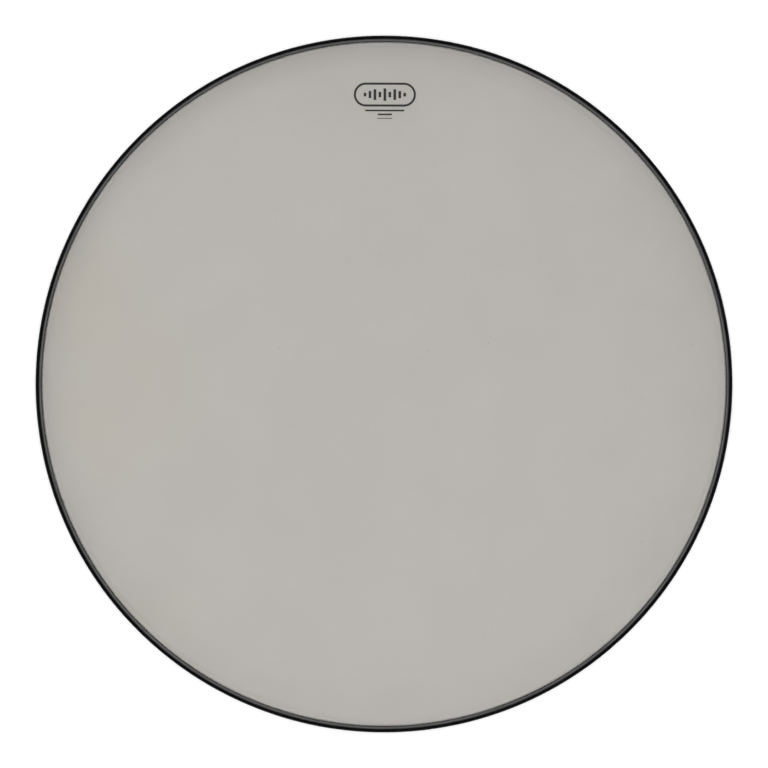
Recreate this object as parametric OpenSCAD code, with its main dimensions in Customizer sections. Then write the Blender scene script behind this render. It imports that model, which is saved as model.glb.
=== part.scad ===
// Timpani drumhead: a formed plastic film held in a potted metal flesh hoop.
// Origin: centre of the hoop on the plane it rests on. +Z points up through the playing
// surface and +Y points from the centre to the printed mark.
// Sections are drawn in the radial plane: X is the distance from the axis, Y is the height.

/* [Head] */
// Outside diameter of the flesh hoop, the nominal size of the head (31 inch)
head_d = 787.4; // [558.8:0.2:914.4]
// Height of the playing surface above the hoop's underside
head_h = 20; // [19:0.5:24]

/* [Film] */
// Film thickness (7.5 mil polyester)
film_t = 0.19; // [0.15:0.01:0.25]
// Lean of the collar from the vertical, in degrees
collar_lean = 8; // [5:1:30]
// Inside radius of the knee between collar and playing surface
knee_r = 6; // [2:0.5:7]
// Inside radius of the bend where the film leaves the hoop
neck_r = 1.5; // [1:0.1:2]
// Inside radius of the fold at the bottom of the channel
fold_r = 0.6; // [0.3:0.1:1]
// Number of anchor holes punched through the film's folded edge
anchor_n = 120; // [24:12:180]
// Diameter of each anchor hole
anchor_d = 2; // [1:0.1:2.4]

/* [Hoop channel] */
// Height of the channel's outer wall
hoop_h = 11; // [10.5:0.5:13]
// Overall width of the channel
hoop_w = 8.2; // [7.6:0.1:9.4]
// Thickness of the outer wall, the floor and the lip
wall_t = 1.2; // [1:0.1:1.5]
// Thickness of the inner wall
inner_t = 1; // [0.8:0.1:1.5]
// Distance that the inner wall's top lies below the outer wall's top
inner_drop = 1.4; // [1:0.1:2]
// Width of the top band that the turned-in lip covers, from the outside
lip_w = 3.4; // [2.8:0.1:3.6]
// Radius of the channel's outer corners
corner_r = 2; // [0.8:0.1:2.2]
// Radius of the free edges of the lip and the inner wall
edge_r = 0.3; // [0.2:0.05:0.4]

/* [Insert ring] */
// Height of the ring's rectangular bar
ring_h = 6.4; // [5:0.1:6.6]
// Radius of the bar's rounded edges
ring_r = 0.5; // [0.3:0.1:0.8]
// Distance of the bar's top face below the top of the hoop
ring_drop = 1.1; // [0.9:0.1:1.3]
// Gap between the bar and the film that stands inside it
film_gap = 0.6; // [0.2:0.05:0.6]
// Gap between the bar and the edge of the lip
lip_gap = 0.15; // [0.1:0.05:0.4]

/* [Potting resin] */
// Thickness of the resin under the film's folded edge
bed_t = 0.8; // [0.5:0.1:0.8]
// Depth of the resin's surface below the top of the bar
resin_drop = 0.6; // [0.4:0.1:1]
// Gap between the film's cut edge and the outer wall
film_end_gap = 0.4; // [0.3:0.1:0.8]

/* [Printed mark] */
// Distance from the hoop's outer edge to the middle of the mark's oval frame
mark_inset = 67.5; // [45:0.5:120]
// Width of the oval frame
mark_w = 70; // [50:1:80]
// Height of the oval frame
mark_h = 27; // [20:1:32]
// Width of the frame's printed line
line_w = 2.4; // [1:0.1:3]
// Width of each bar inside the frame
bar_w = 3; // [1:0.1:4]
// Thickness of the ink
ink_t = 0.05; // [0.03:0.01:0.1]

/* [Hidden] */

$fn = 96;

// Segments in a small rounding and in a large one
small_arc = 6;
large_arc = 14;

// Bars inside the mark's frame: their spacing and lengths
bar_pitch = 5.6;
bar_lengths = [4, 8, 12, 6, 14, 6, 12, 8, 4];
// Rules below the frame: their spacing, and the length and width of each
rule_pitch = 4.4;
rules = [[44, 1.8], [16, 1.8], [17, 0.8]];

// Radii from the axis
outer_r = head_d / 2;
inner_r = outer_r - hoop_w;
cavity_r = outer_r - wall_t;
lip_r = outer_r - lip_w;
film_r = inner_r + inner_t;
ring_in_r = film_r + film_t + film_gap;
ring_out_r = lip_r - lip_gap;
film_end_r = cavity_r - film_end_gap;

// Heights
wall_top = hoop_h - inner_drop;
under_z = head_h - film_t;
fold_z = wall_t + bed_t;
ring_top = hoop_h - ring_drop;
resin_top = ring_top - resin_drop;

// Centres of the film's bends
neck_c = [film_r - neck_r, wall_top];
fold_c = [film_r + film_t + fold_r, fold_z + film_t + fold_r];
knee_z = under_z - knee_r;
knee_c = [
    neck_c[0] + (neck_r - knee_r) * cos(collar_lean)
        - (knee_z - wall_top + (knee_r - neck_r) * sin(collar_lean)) * tan(collar_lean),
    knee_z
];

// Points of an arc about c from angle a to angle b
function arc(c, r, a, b, n) =
    [for (i = [0:n]) c + r * [cos(a + (b - a) * i / n), sin(a + (b - a) * i / n)]];

function reversed(list) = [for (i = [len(list) - 1:-1:0]) list[i]];

// One face of the film from the playing surface to its cut edge.
// s is 0 for the face on the drum's side and film_t for the face on the player's side.
function film_face(s) = concat(
    [[0, under_z + s]],
    arc(knee_c, knee_r + s, 90, collar_lean, large_arc),
    arc(neck_c, neck_r + s, collar_lean, 0, small_arc),
    arc(fold_c, fold_r + film_t - s, 180, 270, small_arc),
    [[film_end_r, fold_z + s]]
);

module film_section() {
    polygon(concat(film_face(0), reversed(film_face(film_t))));
}

module channel_section() {
    polygon(concat(
        arc([outer_r - corner_r, corner_r], corner_r, 270, 360, small_arc),
        arc([outer_r - corner_r, hoop_h - corner_r], corner_r, 0, 90, small_arc),
        arc([lip_r + edge_r, hoop_h - edge_r], edge_r, 90, 180, small_arc),
        [[lip_r, hoop_h - wall_t], [cavity_r, hoop_h - wall_t]],
        [[cavity_r, wall_t], [film_r, wall_t]],
        [[film_r, wall_top]],
        arc([inner_r + edge_r, wall_top - edge_r], edge_r, 90, 180, small_arc),
        arc([inner_r + edge_r, edge_r], edge_r, 180, 270, small_arc)
    ));
}

module ring_section() {
    low = ring_top - ring_h + ring_r;
    high = ring_top - ring_r;
    left = ring_in_r + ring_r;
    right = ring_out_r - ring_r;
    polygon(concat(
        arc([right, low], ring_r, 270, 360, small_arc),
        arc([right, high], ring_r, 0, 90, small_arc),
        arc([left, high], ring_r, 90, 180, small_arc),
        arc([left, low], ring_r, 180, 270, small_arc)
    ));
}

// The space that the resin is poured into: below the lip, and up the mouth to its surface
module cavity_section() {
    lip_under = hoop_h - wall_t;
    polygon([
        [film_r, wall_t], [cavity_r, wall_t], [cavity_r, lip_under],
        [lip_r, lip_under], [lip_r, resin_top], [film_r, resin_top]
    ]);
}

// Formed film with its ring of anchor holes
module film() {
    hole_r = (fold_c[0] + film_end_r) / 2;
    color([0.72, 0.71, 0.69])
    difference() {
        rotate_extrude() film_section();
        for (i = [0:anchor_n - 1])
            rotate([0, 0, i * 360 / anchor_n])
            translate([hole_r, 0, fold_z - film_t])
            cylinder(h = 3 * film_t, d = anchor_d);
    }
}

// Rolled channel with a turned-in lip on its outer wall
module hoop_channel() {
    color([0.03, 0.03, 0.03])
    rotate_extrude() channel_section();
}

// Stiffening bar bedded in the resin above the film's folded edge
module insert_ring() {
    color([0.36, 0.36, 0.36])
    rotate_extrude() ring_section();
}

// Cast resin: what the film and the bar leave of the cavity, and a plug in each anchor hole
module potting_resin() {
    color([0.2, 0.19, 0.17])
    difference() {
        rotate_extrude()
        difference() {
            cavity_section();
            ring_section();
        }
        film();
    }
}

// Flat oval with straight long sides
module oval(w, h) {
    square([w - h, h], center = true);
    for (side = [-1, 1])
        translate([side * (w - h) / 2, 0]) circle(d = h);
}

// Ink: an oval frame around a row of bars, with plain rules below it
module printed_mark() {
    middle_bar = (len(bar_lengths) - 1) / 2;
    color([0.12, 0.12, 0.12])
    translate([0, outer_r - mark_inset, head_h])
    linear_extrude(ink_t) {
        difference() {
            oval(mark_w, mark_h);
            oval(mark_w - 2 * line_w, mark_h - 2 * line_w);
        }
        for (i = [0:len(bar_lengths) - 1])
            translate([(i - middle_bar) * bar_pitch, 0])
            square([bar_w, bar_lengths[i]], center = true);
        for (i = [0:len(rules) - 1])
            translate([0, -mark_h / 2 - (i + 1) * rule_pitch])
            square(rules[i], center = true);
    }
}

film();
hoop_channel();
insert_ring();
potting_resin();
printed_mark();
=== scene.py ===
import math

import bpy
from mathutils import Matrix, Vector, noise


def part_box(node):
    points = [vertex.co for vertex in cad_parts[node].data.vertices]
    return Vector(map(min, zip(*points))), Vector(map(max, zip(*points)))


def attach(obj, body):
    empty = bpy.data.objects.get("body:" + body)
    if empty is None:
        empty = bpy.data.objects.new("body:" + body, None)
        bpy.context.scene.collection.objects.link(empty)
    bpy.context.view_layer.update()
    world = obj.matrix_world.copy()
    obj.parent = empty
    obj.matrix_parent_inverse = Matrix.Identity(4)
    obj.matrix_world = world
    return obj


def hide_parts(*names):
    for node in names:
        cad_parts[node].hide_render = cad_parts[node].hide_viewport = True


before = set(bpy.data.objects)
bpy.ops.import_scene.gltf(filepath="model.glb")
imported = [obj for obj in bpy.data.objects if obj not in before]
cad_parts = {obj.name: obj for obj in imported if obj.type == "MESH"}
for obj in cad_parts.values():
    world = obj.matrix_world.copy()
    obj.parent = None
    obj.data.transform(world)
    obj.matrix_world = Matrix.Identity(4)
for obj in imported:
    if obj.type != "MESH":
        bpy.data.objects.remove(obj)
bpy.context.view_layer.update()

# A timpani drumhead: a formed hazy film potted into a black channel hoop with a steel insert ring.
# All pieces but the printed mark are turned about the Z axis. Lengths are in metres. Heights and
# radii come from the CAD boxes, and the wall sizes below are those of the CAD sections.

MM = 0.001

# ---------------------------------------------------------------- sizes

FILM_T = 0.19 * MM
COLLAR_LEAN = 8  # degrees from the vertical
KNEE_R = 6 * MM
NECK_R = 1.5 * MM
FOLD_R = 0.6 * MM
FILM_END_GAP = 0.4 * MM

HOOP_W = 8.2 * MM
WALL_T = 1.2 * MM
INNER_T = 1 * MM
INNER_DROP = 1.4 * MM
LIP_W = 3.4 * MM
CORNER_R = 2 * MM
EDGE_R = 0.3 * MM

FILM_GAP = 0.6 * MM
BAR_R = 0.5 * MM
BED_T = 0.8 * MM
RESIN_DROP = 0.6 * MM

# The printed mark: an oval frame, a row of bars in it, and rules below it by (length, width)
INK_T = 0.05 * MM
MARK_W = 70 * MM
MARK_H = 27 * MM
MARK_LINE_W = 2.4 * MM
MARK_BAR_W = 3 * MM
MARK_BAR_PITCH = 5.6 * MM
MARK_BAR_LENGTHS = (4 * MM, 8 * MM, 12 * MM, 6 * MM, 14 * MM, 6 * MM, 12 * MM, 8 * MM, 4 * MM)
MARK_RULE_PITCH = 4.4 * MM
MARK_RULES = ((44 * MM, 1.8 * MM), (16 * MM, 1.8 * MM), (17 * MM, 0.8 * MM))

hoop_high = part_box("hoop_channel")[1]
film_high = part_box("film")[1]
bar_low, bar_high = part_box("insert_ring")
mark_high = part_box("printed_mark")[1]

OUTER_R = hoop_high.x
HOOP_H = hoop_high.z
INNER_R = OUTER_R - HOOP_W
CAVITY_R = OUTER_R - WALL_T
LIP_R = OUTER_R - LIP_W
FILM_R = INNER_R + INNER_T
BAR_IN_R = FILM_R + FILM_T + FILM_GAP
BAR_OUT_R = bar_high.x
FILM_END_R = CAVITY_R - FILM_END_GAP
WALL_TOP = HOOP_H - INNER_DROP
FILM_TOP = film_high.z
UNDER_Z = FILM_TOP - FILM_T
FOLD_Z = WALL_T + BED_T
RESIN_TOP = bar_high.z - RESIN_DROP

# Centres of the film's bends, in the radial plane
LEAN = math.radians(COLLAR_LEAN)
NECK_C = (FILM_R - NECK_R, WALL_TOP)
FOLD_C = (FILM_R + FILM_T + FOLD_R, FOLD_Z + FILM_T + FOLD_R)
COLLAR_RISE = UNDER_Z - KNEE_R - WALL_TOP + (KNEE_R - NECK_R) * math.sin(LEAN)
COLLAR_RUN = (KNEE_R - NECK_R) * math.cos(LEAN) + COLLAR_RISE * math.tan(LEAN)
KNEE_C = (NECK_C[0] - COLLAR_RUN, UNDER_Z - KNEE_R)
FLAT_R = KNEE_C[0]

# Anchor holes in the film's folded edge, which the resin flows through
HOLES = 120
HOLE_R = 1 * MM
HOLE_MIDDLE_R = (FOLD_C[0] + FILM_END_R) / 2
HOLE_CORNERS = 4  # points on each quarter of a hole's edge
COLUMNS_PER_HOLE = 5

# The untensioned film's waves
SLACK_DEPTH = 0.25 * MM
SLACK_FADE = 60 * MM  # how far in from the knee the waves reach their full height
BROAD_WAVES = 7  # to the metre
SHORT_WAVES = 15

# Steps in each kind of rounding
KNEE_STEPS = 14
CORNER_STEPS = 9
FOLD_STEPS = 6
EDGE_STEPS = 5
SHARP_ANGLE = math.radians(35)  # edges that turn more than this stay sharp

# ---------------------------------------------------------------- sections


def arc(centre, radius, start, end, steps):
    """Points of an arc from start to end degrees."""
    turns = [math.radians(start + (end - start) * i / steps) for i in range(steps + 1)]
    return [(centre[0] + radius * math.cos(t), centre[1] + radius * math.sin(t)) for t in turns]


def film_face(s, rings=26):
    """One face of the film from its middle to its cut edge: s is 0 on the drum's side."""
    return (
        [(FLAT_R * i / rings, UNDER_Z + s) for i in range(rings)]
        + arc(KNEE_C, KNEE_R + s, 90, COLLAR_LEAN, KNEE_STEPS)
        + arc(NECK_C, NECK_R + s, COLLAR_LEAN, 0, EDGE_STEPS)
        + arc(FOLD_C, FOLD_R + FILM_T - s, 180, 270, FOLD_STEPS)
        + [(FILM_END_R, FOLD_Z + s)]
    )


def film_section():
    return film_face(0) + film_face(FILM_T)[::-1]


def channel_section():
    return (
        arc((OUTER_R - CORNER_R, CORNER_R), CORNER_R, 270, 360, CORNER_STEPS)
        + arc((OUTER_R - CORNER_R, HOOP_H - CORNER_R), CORNER_R, 0, 90, CORNER_STEPS)
        + arc((LIP_R + EDGE_R, HOOP_H - EDGE_R), EDGE_R, 90, 180, EDGE_STEPS)
        + [(LIP_R, HOOP_H - WALL_T), (CAVITY_R, HOOP_H - WALL_T)]
        + [(CAVITY_R, WALL_T), (FILM_R, WALL_T), (FILM_R, WALL_TOP)]
        + arc((INNER_R + EDGE_R, WALL_TOP - EDGE_R), EDGE_R, 90, 180, EDGE_STEPS)
        + arc((INNER_R + EDGE_R, EDGE_R), EDGE_R, 180, 270, EDGE_STEPS)
    )


def bar_section():
    low, high = bar_low.z + BAR_R, bar_high.z - BAR_R
    left, right = BAR_IN_R + BAR_R, BAR_OUT_R - BAR_R
    return (
        arc((left, high), BAR_R, 90, 180, EDGE_STEPS)
        + arc((left, low), BAR_R, 180, 270, EDGE_STEPS)
        + arc((right, low), BAR_R, 270, 360, EDGE_STEPS)
        + arc((right, high), BAR_R, 0, 90, EDGE_STEPS)
    )


def resin_section():
    """Down beside the film, round its folded edge, out to the channel, and back round the bar."""
    around_bar = [p for p in bar_section() if p[1] < RESIN_TOP]
    return (
        [(FILM_R + FILM_T, RESIN_TOP)]
        + arc(FOLD_C, FOLD_R, 180, 270, FOLD_STEPS)
        + [(FILM_END_R, FOLD_Z + FILM_T), (FILM_END_R, FOLD_Z)]
        + arc(FOLD_C, FOLD_R + FILM_T, 270, 180, FOLD_STEPS)
        + [(FILM_R, WALL_T), (CAVITY_R, WALL_T), (CAVITY_R, HOOP_H - WALL_T)]
        + [(LIP_R, HOOP_H - WALL_T), (LIP_R, RESIN_TOP), (BAR_OUT_R, RESIN_TOP)]
        + around_bar[::-1]
        + [(BAR_IN_R, RESIN_TOP)]
    )


# ---------------------------------------------------------------- meshes


def slack(x, y):
    """How far the untensioned film stands off its plane: long low waves that die out at the knee."""
    fade = min(1.0, max(0.0, (FLAT_R - math.hypot(x, y)) / SLACK_FADE))
    broad = noise.noise(Vector((x * BROAD_WAVES, y * BROAD_WAVES, 3)))
    short = noise.noise(Vector((x * SHORT_WAVES, y * SHORT_WAVES, 8)))
    return SLACK_DEPTH * fade * fade * (3 - 2 * fade) * (broad + 0.5 * short)


def slack_film(radius, height, angle):
    """A point of the film, moved if it is on the playing surface."""
    if height > KNEE_C[1]:
        height += slack(radius * math.cos(angle), radius * math.sin(angle))
    return radius, height


def seam(section, at, depth, width):
    """Sinks every point of a ring near one angle: the line of a dressed butt joint."""
    middle_r = sum(p[0] for p in section) / len(section)
    middle_z = sum(p[1] for p in section) / len(section)

    def sink(radius, height, angle):
        away = (angle - at) * OUTER_R / width
        share = depth * math.exp(-away * away) / math.hypot(radius - middle_r, height - middle_z)
        return radius + (middle_r - radius) * share, height + (middle_z - height) * share

    return sink


def columns(extra=()):
    """Angles of a ring's columns. Each anchor hole sits in a narrow gap, and wide gaps follow it."""
    pitch = 2 * math.pi / HOLES
    narrow = 1.4 * HOLE_R / HOLE_MIDDLE_R  # half of a narrow gap
    gaps = COLUMNS_PER_HOLE - 1
    wide = (pitch - 2 * narrow) / gaps
    offsets = [-narrow] + [narrow + wide * i for i in range(gaps)]
    return sorted([pitch * hole + offset for hole in range(HOLES) for offset in offsets] + list(extra))


def seam_columns(at, width):
    """Extra columns that give a seam its shape."""
    return [at + step * width / OUTER_R for step in (-2, -1.2, -0.6, 0, 0.6, 1.2, 2)]


def turned(name, section, angles, reshape=None, pierced=()):
    """A mesh turned about Z from a closed anticlockwise section.

    reshape moves a point, given its radius, height and angle. pierced holds the numbers of two
    section edges, and each narrow gap gets a hole through both. A pierced mesh has no seam columns.
    """
    verts, faces, rows = [], [], []
    for angle in angles:
        row = []
        for i, (radius, height) in enumerate(section):
            if radius == 0 and rows:
                row.append(rows[0][i])
                continue
            if reshape:
                radius, height = reshape(radius, height, angle)
            row.append(len(verts))
            verts.append((radius * math.cos(angle), radius * math.sin(angle), height))
        rows.append(row)
    for k, here in enumerate(rows):
        after = rows[(k + 1) % len(rows)]
        rims = {}
        for i in range(len(section)):
            j = (i + 1) % len(section)
            if i in pierced and k % COLUMNS_PER_HOLE == 0:
                up = section[j][0] < section[i][0]
                inner, outer = (j, i) if up else (i, j)
                centre = (angles[k] + angles[k + 1]) / 2
                rims[up] = hole_rim(verts, centre, section[i][1])
                corners = [here[outer], after[outer], after[inner], here[inner]]
                faces += faces_round_hole(corners, rims[up], up)
                continue
            face = list(dict.fromkeys([after[i], after[j], here[j], here[i]]))
            if len(face) > 2:
                faces.append(face)
        if rims:
            faces += hole_wall(rims[True], rims[False])
    return made(name, verts, faces)


def hole_rim(verts, angle, height):
    """Adds the points of an anchor hole's edge, anticlockwise from above."""
    start, count = len(verts), 4 * HOLE_CORNERS
    for i in range(count):
        turn = angle + 2 * math.pi * i / count - math.pi / 4
        x = HOLE_MIDDLE_R * math.cos(angle) + HOLE_R * math.cos(turn)
        y = HOLE_MIDDLE_R * math.sin(angle) + HOLE_R * math.sin(turn)
        verts.append((x, y, height))
    return list(range(start, start + count))


def faces_round_hole(corners, rim, up):
    """Four faces between a rectangle and the hole in it."""
    faces = []
    for side in range(4):
        edge = [rim[(side * HOLE_CORNERS + i) % len(rim)] for i in range(HOLE_CORNERS, -1, -1)]
        face = [corners[side], corners[(side + 1) % 4]] + edge
        faces.append(face if up else face[::-1])
    return faces


def hole_wall(facing_up, facing_down):
    """The wall between the edges of a hole, or of the plug that fills it."""
    count = len(facing_up)
    return [
        [facing_up[i], facing_up[(i + 1) % count], facing_down[(i + 1) % count], facing_down[i]]
        for i in range(count)
    ]


def made(name, verts, faces):
    """An object from points and faces, smooth but for its real edges."""
    mesh = bpy.data.meshes.new(name)
    mesh.from_pydata(verts, [], faces)
    mesh.validate()
    mesh.shade_smooth()
    mesh.set_sharp_from_angle(angle=SHARP_ANGLE)
    obj = bpy.data.objects.new(name, mesh)
    bpy.context.scene.collection.objects.link(obj)
    return obj


def flange_edges(section):
    """The two long flat edges of a section that lie on the faces of the film's folded edge."""
    found, touching = [], 1e-7
    for i, (radius, height) in enumerate(section):
        after_r, after_z = section[(i + 1) % len(section)]
        level = min(abs(height - FOLD_Z), abs(height - FOLD_Z - FILM_T)) < touching
        if level and abs(height - after_z) < touching and abs(radius - after_r) > 2 * HOLE_R:
            found.append(i)
    return found


# ---------------------------------------------------------------- materials


def add(tree, kind, inputs=None, **settings):
    """A node with its settings, and each named input linked or set."""
    node = tree.nodes.new(kind)
    for key, value in settings.items():
        setattr(node, key, value)
    for socket, value in (inputs or {}).items():
        if isinstance(value, bpy.types.NodeSocket):
            tree.links.new(value, node.inputs[socket])
        else:
            node.inputs[socket].default_value = value
    return node


def new_material(name):
    """An empty node material, its tree, and object coordinates."""
    material = bpy.data.materials.new(name)
    material.use_nodes = True
    tree = material.node_tree
    tree.nodes.clear()
    place = add(tree, "ShaderNodeTexCoord").outputs["Object"]
    return material, tree, place


def grain(tree, place, scale, detail=3.0, offset=(0, 0, 0), stretch=(1, 1, 1)):
    """Noise of that many features to the metre."""
    moved = add(tree, "ShaderNodeMapping", {"Vector": place, "Location": offset, "Scale": stretch})
    settings = {"Vector": moved.outputs[0], "Scale": scale, "Detail": detail}
    return add(tree, "ShaderNodeTexNoise", settings).outputs[0]


def ranged(tree, value, low, high, to_low=0.0, to_high=1.0):
    """value from low..high to to_low..to_high, held at the ends."""
    settings = {"Value": value, "From Min": low, "From Max": high, "To Min": to_low, "To Max": to_high}
    return add(tree, "ShaderNodeMapRange", settings).outputs[0]


def maths(tree, operation, first, second=0.0):
    return add(tree, "ShaderNodeMath", {0: first, 1: second}, operation=operation).outputs[0]


def mixed(tree, amount, first, second):
    """first to second colour by amount."""
    return add(tree, "ShaderNodeMix", {0: amount, 6: first, 7: second}, data_type="RGBA").outputs[2]


def scaled(tree, colour, by):
    inputs = {0: colour, "Scale": by}
    return add(tree, "ShaderNodeVectorMath", inputs, operation="SCALE").outputs[0]


def bump(tree, height, depth, under=None):
    inputs = {"Height": height, "Distance": depth, "Strength": 1.0}
    if under:
        inputs["Normal"] = under
    return add(tree, "ShaderNodeBump", inputs).outputs[0]


def split(tree, place):
    """X, Y, Z and the distance from the axis."""
    parts = add(tree, "ShaderNodeSeparateXYZ", {"Vector": place}).outputs
    flat = add(tree, "ShaderNodeVectorMath", {0: place, 1: (1, 1, 0)}, operation="MULTIPLY").outputs[0]
    radius = add(tree, "ShaderNodeVectorMath", {0: flat}, operation="LENGTH").outputs["Value"]
    return parts[0], parts[1], parts[2], radius


def round_lines(tree, place, scale):
    """Fine lines that run round the hoop, changing slowly along it."""
    x, _, z, radius = split(tree, place)
    vector = add(tree, "ShaderNodeCombineXYZ", {0: radius, 1: z, 2: maths(tree, "MULTIPLY", x, 0.02)})
    settings = {"Vector": vector.outputs[0], "Scale": scale, "Detail": 2.0}
    return add(tree, "ShaderNodeTexNoise", settings).outputs[0]


def ended(tree, shader):
    add(tree, "ShaderNodeOutputMaterial", {"Surface": shader})


def hazy_colour(tree, place):
    """The film's grey: slightly yellowed to the left, with painted light a little lighter towards the
    lower left, and along the rim painted shade near the mark and painted light opposite."""
    x, y, _, radius = split(tree, place)
    slant = maths(tree, "ADD", x, ranged(tree, y, -0.4, 0.4, 0.03, -0.03))
    aged = ranged(tree, slant, -0.16, -0.36, 0.06, 0.8)
    patches = ranged(tree, grain(tree, place, 5.0, 1.5, (0.35, 0.2, 0)), 0.44, 0.62)
    yellowing = maths(tree, "MULTIPLY", patches, aged)
    colour = mixed(tree, yellowing, (0.344, 0.335, 0.322, 1), (0.347, 0.331, 0.298, 1))
    cloud = ranged(tree, grain(tree, place, 14.0, 5.0), 0.3, 0.7, 0.985, 1.015)
    # Painted light: the film is a little lighter towards the lower left and darker towards the upper
    # right.
    painted_light_tilt = ranged(tree, maths(tree, "ADD", x, y), -0.5, 0.5, 1.015, 0.985)
    colour = scaled(tree, colour, maths(tree, "MULTIPLY", cloud, painted_light_tilt))
    haze = ranged(tree, grain(tree, place, 900.0, 3.0), 0.3, 0.7, 0.97, 1.03)
    colour = scaled(tree, colour, haze)
    # Painted shade along the rim: up to a tenth darker near the mark, and a little painted light on the
    # opposite side.
    across = maths(tree, "SUBTRACT", y, maths(tree, "MULTIPLY", x, 0.36))
    side = ranged(tree, across, -0.4, 0.4, -0.04, 0.1)
    near_rim = ranged(tree, radius, FLAT_R - 22 * MM, FLAT_R + 4 * MM)
    painted_rim_shade = maths(tree, "MULTIPLY", near_rim, side)
    return scaled(tree, colour, maths(tree, "SUBTRACT", 1.0, painted_rim_shade))


def specked(tree, place, colour):
    """The colour with a few small dark specks."""
    cells = add(tree, "ShaderNodeTexVoronoi", {"Vector": place, "Scale": 17.0}, voronoi_dimensions="2D")
    chosen = add(tree, "ShaderNodeSeparateColor", {"Color": cells.outputs["Color"]}).outputs
    size = ranged(tree, chosen[1], 0.0, 1.0, 0.006, 0.014)
    near = maths(tree, "LESS_THAN", cells.outputs["Distance"], size)
    speck = maths(tree, "MULTIPLY", near, maths(tree, "GREATER_THAN", chosen[0], 0.86))
    return mixed(tree, maths(tree, "MULTIPLY", speck, 0.4), colour, (0.12, 0.11, 0.1, 1))


def film_material():
    """Hazy specked polyester with a fine tooth, drawn clearer at the collar."""
    material, tree, place = new_material("hazy_film")
    colour = specked(tree, place, hazy_colour(tree, place))
    normal = bump(tree, grain(tree, place, 1800.0, 2.0), 0.03 * MM)
    front = add(tree, "ShaderNodeBsdfPrincipled", {
        "Base Color": colour, "Roughness": 0.5, "Specular IOR Level": 0.3, "Normal": normal,
    }).outputs[0]
    back = add(tree, "ShaderNodeBsdfTranslucent", {"Color": scaled(tree, colour, 2.3)}).outputs[0]
    hazy = add(tree, "ShaderNodeMixShader", {0: 0.5, 1: front, 2: back}).outputs[0]
    clear = add(tree, "ShaderNodeBsdfTransparent").outputs[0]
    radius = split(tree, place)[3]
    stretch = ranged(tree, radius, FLAT_R + 2 * MM, FLAT_R + 6 * MM)
    drawn = ranged(tree, maths(tree, "POWER", stretch, 1.5), 0.0, 1.0, 0.32, 0.78)
    ended(tree, add(tree, "ShaderNodeMixShader", {0: drawn, 1: hazy, 2: clear}).outputs[0])
    return material


def coat_material():
    """Black coated metal: roll lines under the coat, a little dust, and a rubbed lower edge."""
    material, tree, place = new_material("black_coat")
    _, _, z, radius = split(tree, place)
    shade = ranged(tree, grain(tree, place, 35.0, 4.0), 0.3, 0.7, 0.6, 1.5)
    colour = scaled(tree, (0.001, 0.001, 0.0011), shade)
    low_edge = ranged(tree, z, 1.8 * MM, 0.3 * MM)
    outside = ranged(tree, radius, OUTER_R - 1.8 * MM, OUTER_R - 0.5 * MM)
    rubs = ranged(tree, grain(tree, place, 180.0, 6.0, stretch=(1, 1, 3)), 0.52, 0.62)
    worn = maths(tree, "MULTIPLY", maths(tree, "MULTIPLY", low_edge, outside), rubs)
    colour = mixed(tree, maths(tree, "MULTIPLY", worn, 0.8), colour, (0.14, 0.14, 0.145, 1))
    dust = ranged(tree, grain(tree, place, 800.0, 6.0), 0.62, 0.72, 0.0, 0.3)
    colour = mixed(tree, dust, colour, (0.05, 0.048, 0.045, 1))
    rough = ranged(tree, grain(tree, place, 70.0, 5.0), 0.3, 0.7, 0.17, 0.33)
    normal = bump(tree, round_lines(tree, place, 1500.0), 0.006 * MM)
    normal = bump(tree, grain(tree, place, 900.0, 2.0), 0.006 * MM, normal)
    ended(tree, add(tree, "ShaderNodeBsdfPrincipled", {
        "Base Color": colour, "Roughness": rough, "Specular IOR Level": 0.07, "Normal": normal,
    }).outputs[0])
    return material


def steel_material():
    """Dull drawn steel: fine lines along the bar, darker stains, and painted shade of the lip along the
    bar's outer edge.
    """
    material, tree, place = new_material("drawn_steel")
    lines = round_lines(tree, place, 2600.0)
    stains = ranged(tree, grain(tree, place, 28.0, 4.0), 0.35, 0.65, 0.88, 1.08)
    shade = maths(tree, "MULTIPLY", stains, ranged(tree, lines, 0.3, 0.7, 0.85, 1.15))
    radius = split(tree, place)[3]
    # Painted shade: the bar darkens towards its outer edge, where the lip overhangs it.
    painted_lip_shade = ranged(tree, radius, BAR_OUT_R - 1.8 * MM, BAR_OUT_R - 0.3 * MM, 1.0, 0.2)
    colour = scaled(tree, (0.122, 0.122, 0.124), maths(tree, "MULTIPLY", shade, painted_lip_shade))
    rough = ranged(tree, grain(tree, place, 150.0, 3.0), 0.3, 0.7, 0.42, 0.56)
    ended(tree, add(tree, "ShaderNodeBsdfPrincipled", {
        "Base Color": colour, "Roughness": rough, "Metallic": 0.85,
        "Normal": bump(tree, lines, 0.015 * MM),
    }).outputs[0])
    return material


def resin_material():
    """Dark cast resin with slow ripples in its poured surface."""
    material, tree, place = new_material("cast_resin")
    shade = ranged(tree, grain(tree, place, 45.0, 4.0), 0.3, 0.7, 0.7, 1.4)
    rough = ranged(tree, grain(tree, place, 90.0, 3.0), 0.3, 0.7, 0.25, 0.4)
    ended(tree, add(tree, "ShaderNodeBsdfPrincipled", {
        "Base Color": scaled(tree, (0.012, 0.0115, 0.011), shade), "Roughness": rough,
        "Specular IOR Level": 0.25, "Normal": bump(tree, grain(tree, place, 220.0, 2.0), 0.05 * MM),
    }).outputs[0])
    return material


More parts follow.
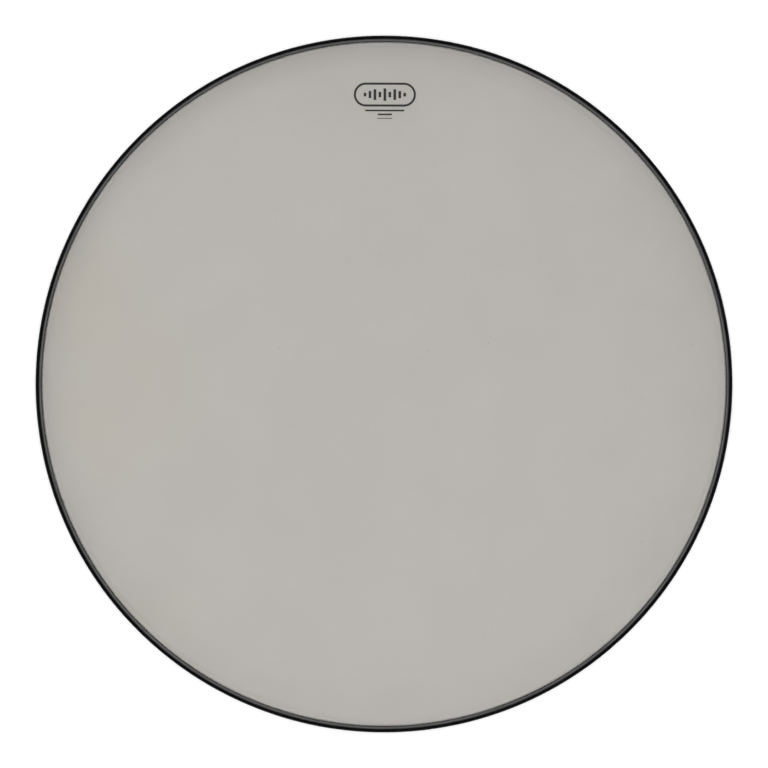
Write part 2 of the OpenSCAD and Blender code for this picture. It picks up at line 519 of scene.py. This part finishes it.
def ink_material():
    """Screen ink: nearly black, a little thinner in places, on the film's tooth."""
    material, tree, place = new_material("screen_ink")
    shade = ranged(tree, grain(tree, place, 1300.0, 4.0), 0.3, 0.75, 0.7, 1.9)
    rough = ranged(tree, grain(tree, place, 500.0, 3.0), 0.3, 0.7, 0.5, 0.65)
    ended(tree, add(tree, "ShaderNodeBsdfPrincipled", {
        "Base Color": scaled(tree, (0.008, 0.008, 0.008), shade), "Roughness": rough,
        "Specular IOR Level": 0.3, "Normal": bump(tree, grain(tree, place, 1800.0, 2.0), 0.02 * MM),
    }).outputs[0])
    return material


# ---------------------------------------------------------------- pieces


def placed(obj, node, material):
    """The piece stands for its CAD node, rides on the one body and has its own finish."""
    obj.data.materials.append(material)
    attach(obj, "root")
    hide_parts(node)


def make_film():
    section = film_section()
    film = turned("formed_film", section, columns(), slack_film, flange_edges(section))
    placed(film, "film", film_material())


def make_channel():
    section = channel_section()
    at, depth, width = math.radians(262), 0.12 * MM, 0.45 * MM
    angles = columns(seam_columns(at, width))
    channel = turned("channel_hoop", section, angles, seam(section, at, depth, width))
    placed(channel, "hoop_channel", coat_material())


def make_bar():
    section = bar_section()
    at, depth, width = math.radians(97), 0.15 * MM, 0.2 * MM
    angles = columns(seam_columns(at, width))
    bar = turned("steel_bar", section, angles, seam(section, at, depth, width))
    placed(bar, "insert_ring", steel_material())


def make_resin():
    section = resin_section()
    resin = turned("resin_fill", section, columns(), None, flange_edges(section))
    placed(resin, "potting_resin", resin_material())


def make_mark():
    """An oval frame, a row of bars in it, and plain rules below it."""
    middle = mark_high.y - MARK_H / 2
    verts, faces = [], []

    def plate(left, right, closed=False):
        """A thin plate of ink between two rails of (x, y) points, laid on the slack film."""
        start, count = len(verts), len(left)
        for lift in (0, INK_T):
            verts.extend((x, y, FILM_TOP + slack(x, y) + lift) for x, y in left + right)
        low_l, low_r, high_l, high_r = (start + count * i for i in range(4))
        for i in range(count if closed else count - 1):
            j = (i + 1) % count
            faces.append([high_l + i, high_r + i, high_r + j, high_l + j])
            faces.append([low_l + j, low_r + j, low_r + i, low_l + i])
            faces.append([low_l + i, high_l + i, high_l + j, low_l + j])
            faces.append([low_r + j, high_r + j, high_r + i, low_r + i])
        if not closed:
            end = count - 1
            faces.append([low_l, low_r, high_r, high_l])
            faces.append([low_r + end, low_l + end, high_l + end, high_r + end])

    def oval(inset, steps=32, along=12):
        """Anticlockwise points of the frame's edge, inset by a distance."""
        radius, half = MARK_H / 2 - inset, (MARK_W - MARK_H) / 2
        right = arc((half, middle), radius, -90, 90, steps)
        left = arc((-half, middle), radius, 90, 270, steps)
        reach = [half - 2 * half * i / along for i in range(1, along)]
        top = [(x, middle + radius) for x in reach]
        bottom = [(-x, middle - radius) for x in reach]
        return right + top + left + bottom

    def cuts(length, pieces):
        """Places along a plate, from end to end, so that it can follow the slack film."""
        return [length * (t / pieces - 0.5) for t in range(pieces + 1)]

    plate(oval(MARK_LINE_W), oval(0), closed=True)
    for i, length in enumerate(MARK_BAR_LENGTHS):
        x = (i - (len(MARK_BAR_LENGTHS) - 1) / 2) * MARK_BAR_PITCH
        ys = [middle + cut for cut in cuts(length, 6)]
        plate([(x - MARK_BAR_W / 2, y) for y in ys], [(x + MARK_BAR_W / 2, y) for y in ys])
    for i, (length, thick) in enumerate(MARK_RULES):
        y = middle - MARK_H / 2 - (i + 1) * MARK_RULE_PITCH
        xs = cuts(length, 16)
        plate([(x, y + thick / 2) for x in xs], [(x, y - thick / 2) for x in xs])
    placed(made("ink_mark", verts, faces), "printed_mark", ink_material())


# ---------------------------------------------------------------- studio


def make_floor():
    """A pale floor, just under the hoop. It glows a little, so that it is white up to the hoop."""
    material, tree, place = new_material("pale_floor")
    shade = ranged(tree, grain(tree, place, 3.0), 0.3, 0.7, 0.895, 0.905)
    colour = add(tree, "ShaderNodeCombineColor", {0: shade, 1: shade, 2: shade}).outputs[0]
    ended(tree, add(tree, "ShaderNodeBsdfPrincipled", {
        "Base Color": colour, "Roughness": 0.9, "Specular IOR Level": 0.1,
        "Emission Color": (1, 1, 1, 1), "Emission Strength": 0.16,
    }).outputs[0])
    bpy.ops.mesh.primitive_circle_add(vertices=96, radius=12, fill_type="NGON", location=(0, 0, -0.2 * MM))
    floor = bpy.context.object
    floor.name = "studio_floor"
    floor.data.materials.append(material)


def make_room(level):
    """Light by the sine of its height: a bright horizon, dim walls, a ring of softboxes high up,
    and a dark ceiling right above."""
    world = bpy.data.worlds.new("studio")
    bpy.context.scene.world = world
    world.use_nodes = True
    tree = world.node_tree
    tree.nodes.clear()
    up = add(tree, "ShaderNodeTexCoord").outputs["Generated"]
    height = add(tree, "ShaderNodeSeparateXYZ", {"Vector": up}).outputs["Z"]
    walls, softboxes, ceiling = 0.08, 1.0, 0.003
    sweep = ranged(tree, height, 0.1, 0.22, 0.95 / level, walls)
    ring = ranged(tree, height, 0.6, 0.68, sweep, softboxes)
    ring = maths(tree, "MULTIPLY", ring, ranged(tree, height, 0.88, 0.94, 1.0, ceiling))
    strength = maths(tree, "MULTIPLY", ring, level)
    light = add(tree, "ShaderNodeBackground", {"Color": (1, 1, 1, 1), "Strength": strength}).outputs[0]
    add(tree, "ShaderNodeOutputWorld", {"Surface": light})


def make_camera():
    """Straight above the head."""
    span = 0.9075  # the hoop's share of the picture's width
    turn = math.radians(0.17)
    data = bpy.data.cameras.new("camera")
    data.lens, data.sensor_width = 200, 36
    distance = 2 * OUTER_R * data.lens / (span * data.sensor_width)
    camera = bpy.data.objects.new("camera", data)
    camera.location = (0, 0, distance + HOOP_H - CORNER_R)
    camera.rotation_euler = (0, 0, turn)
    bpy.context.scene.collection.objects.link(camera)
    bpy.context.scene.camera = camera


make_film()
make_channel()
make_bar()
make_resin()
make_mark()
make_floor()
make_room(3.1)
make_camera()
bpy.context.scene.view_settings.view_transform = "Standard"
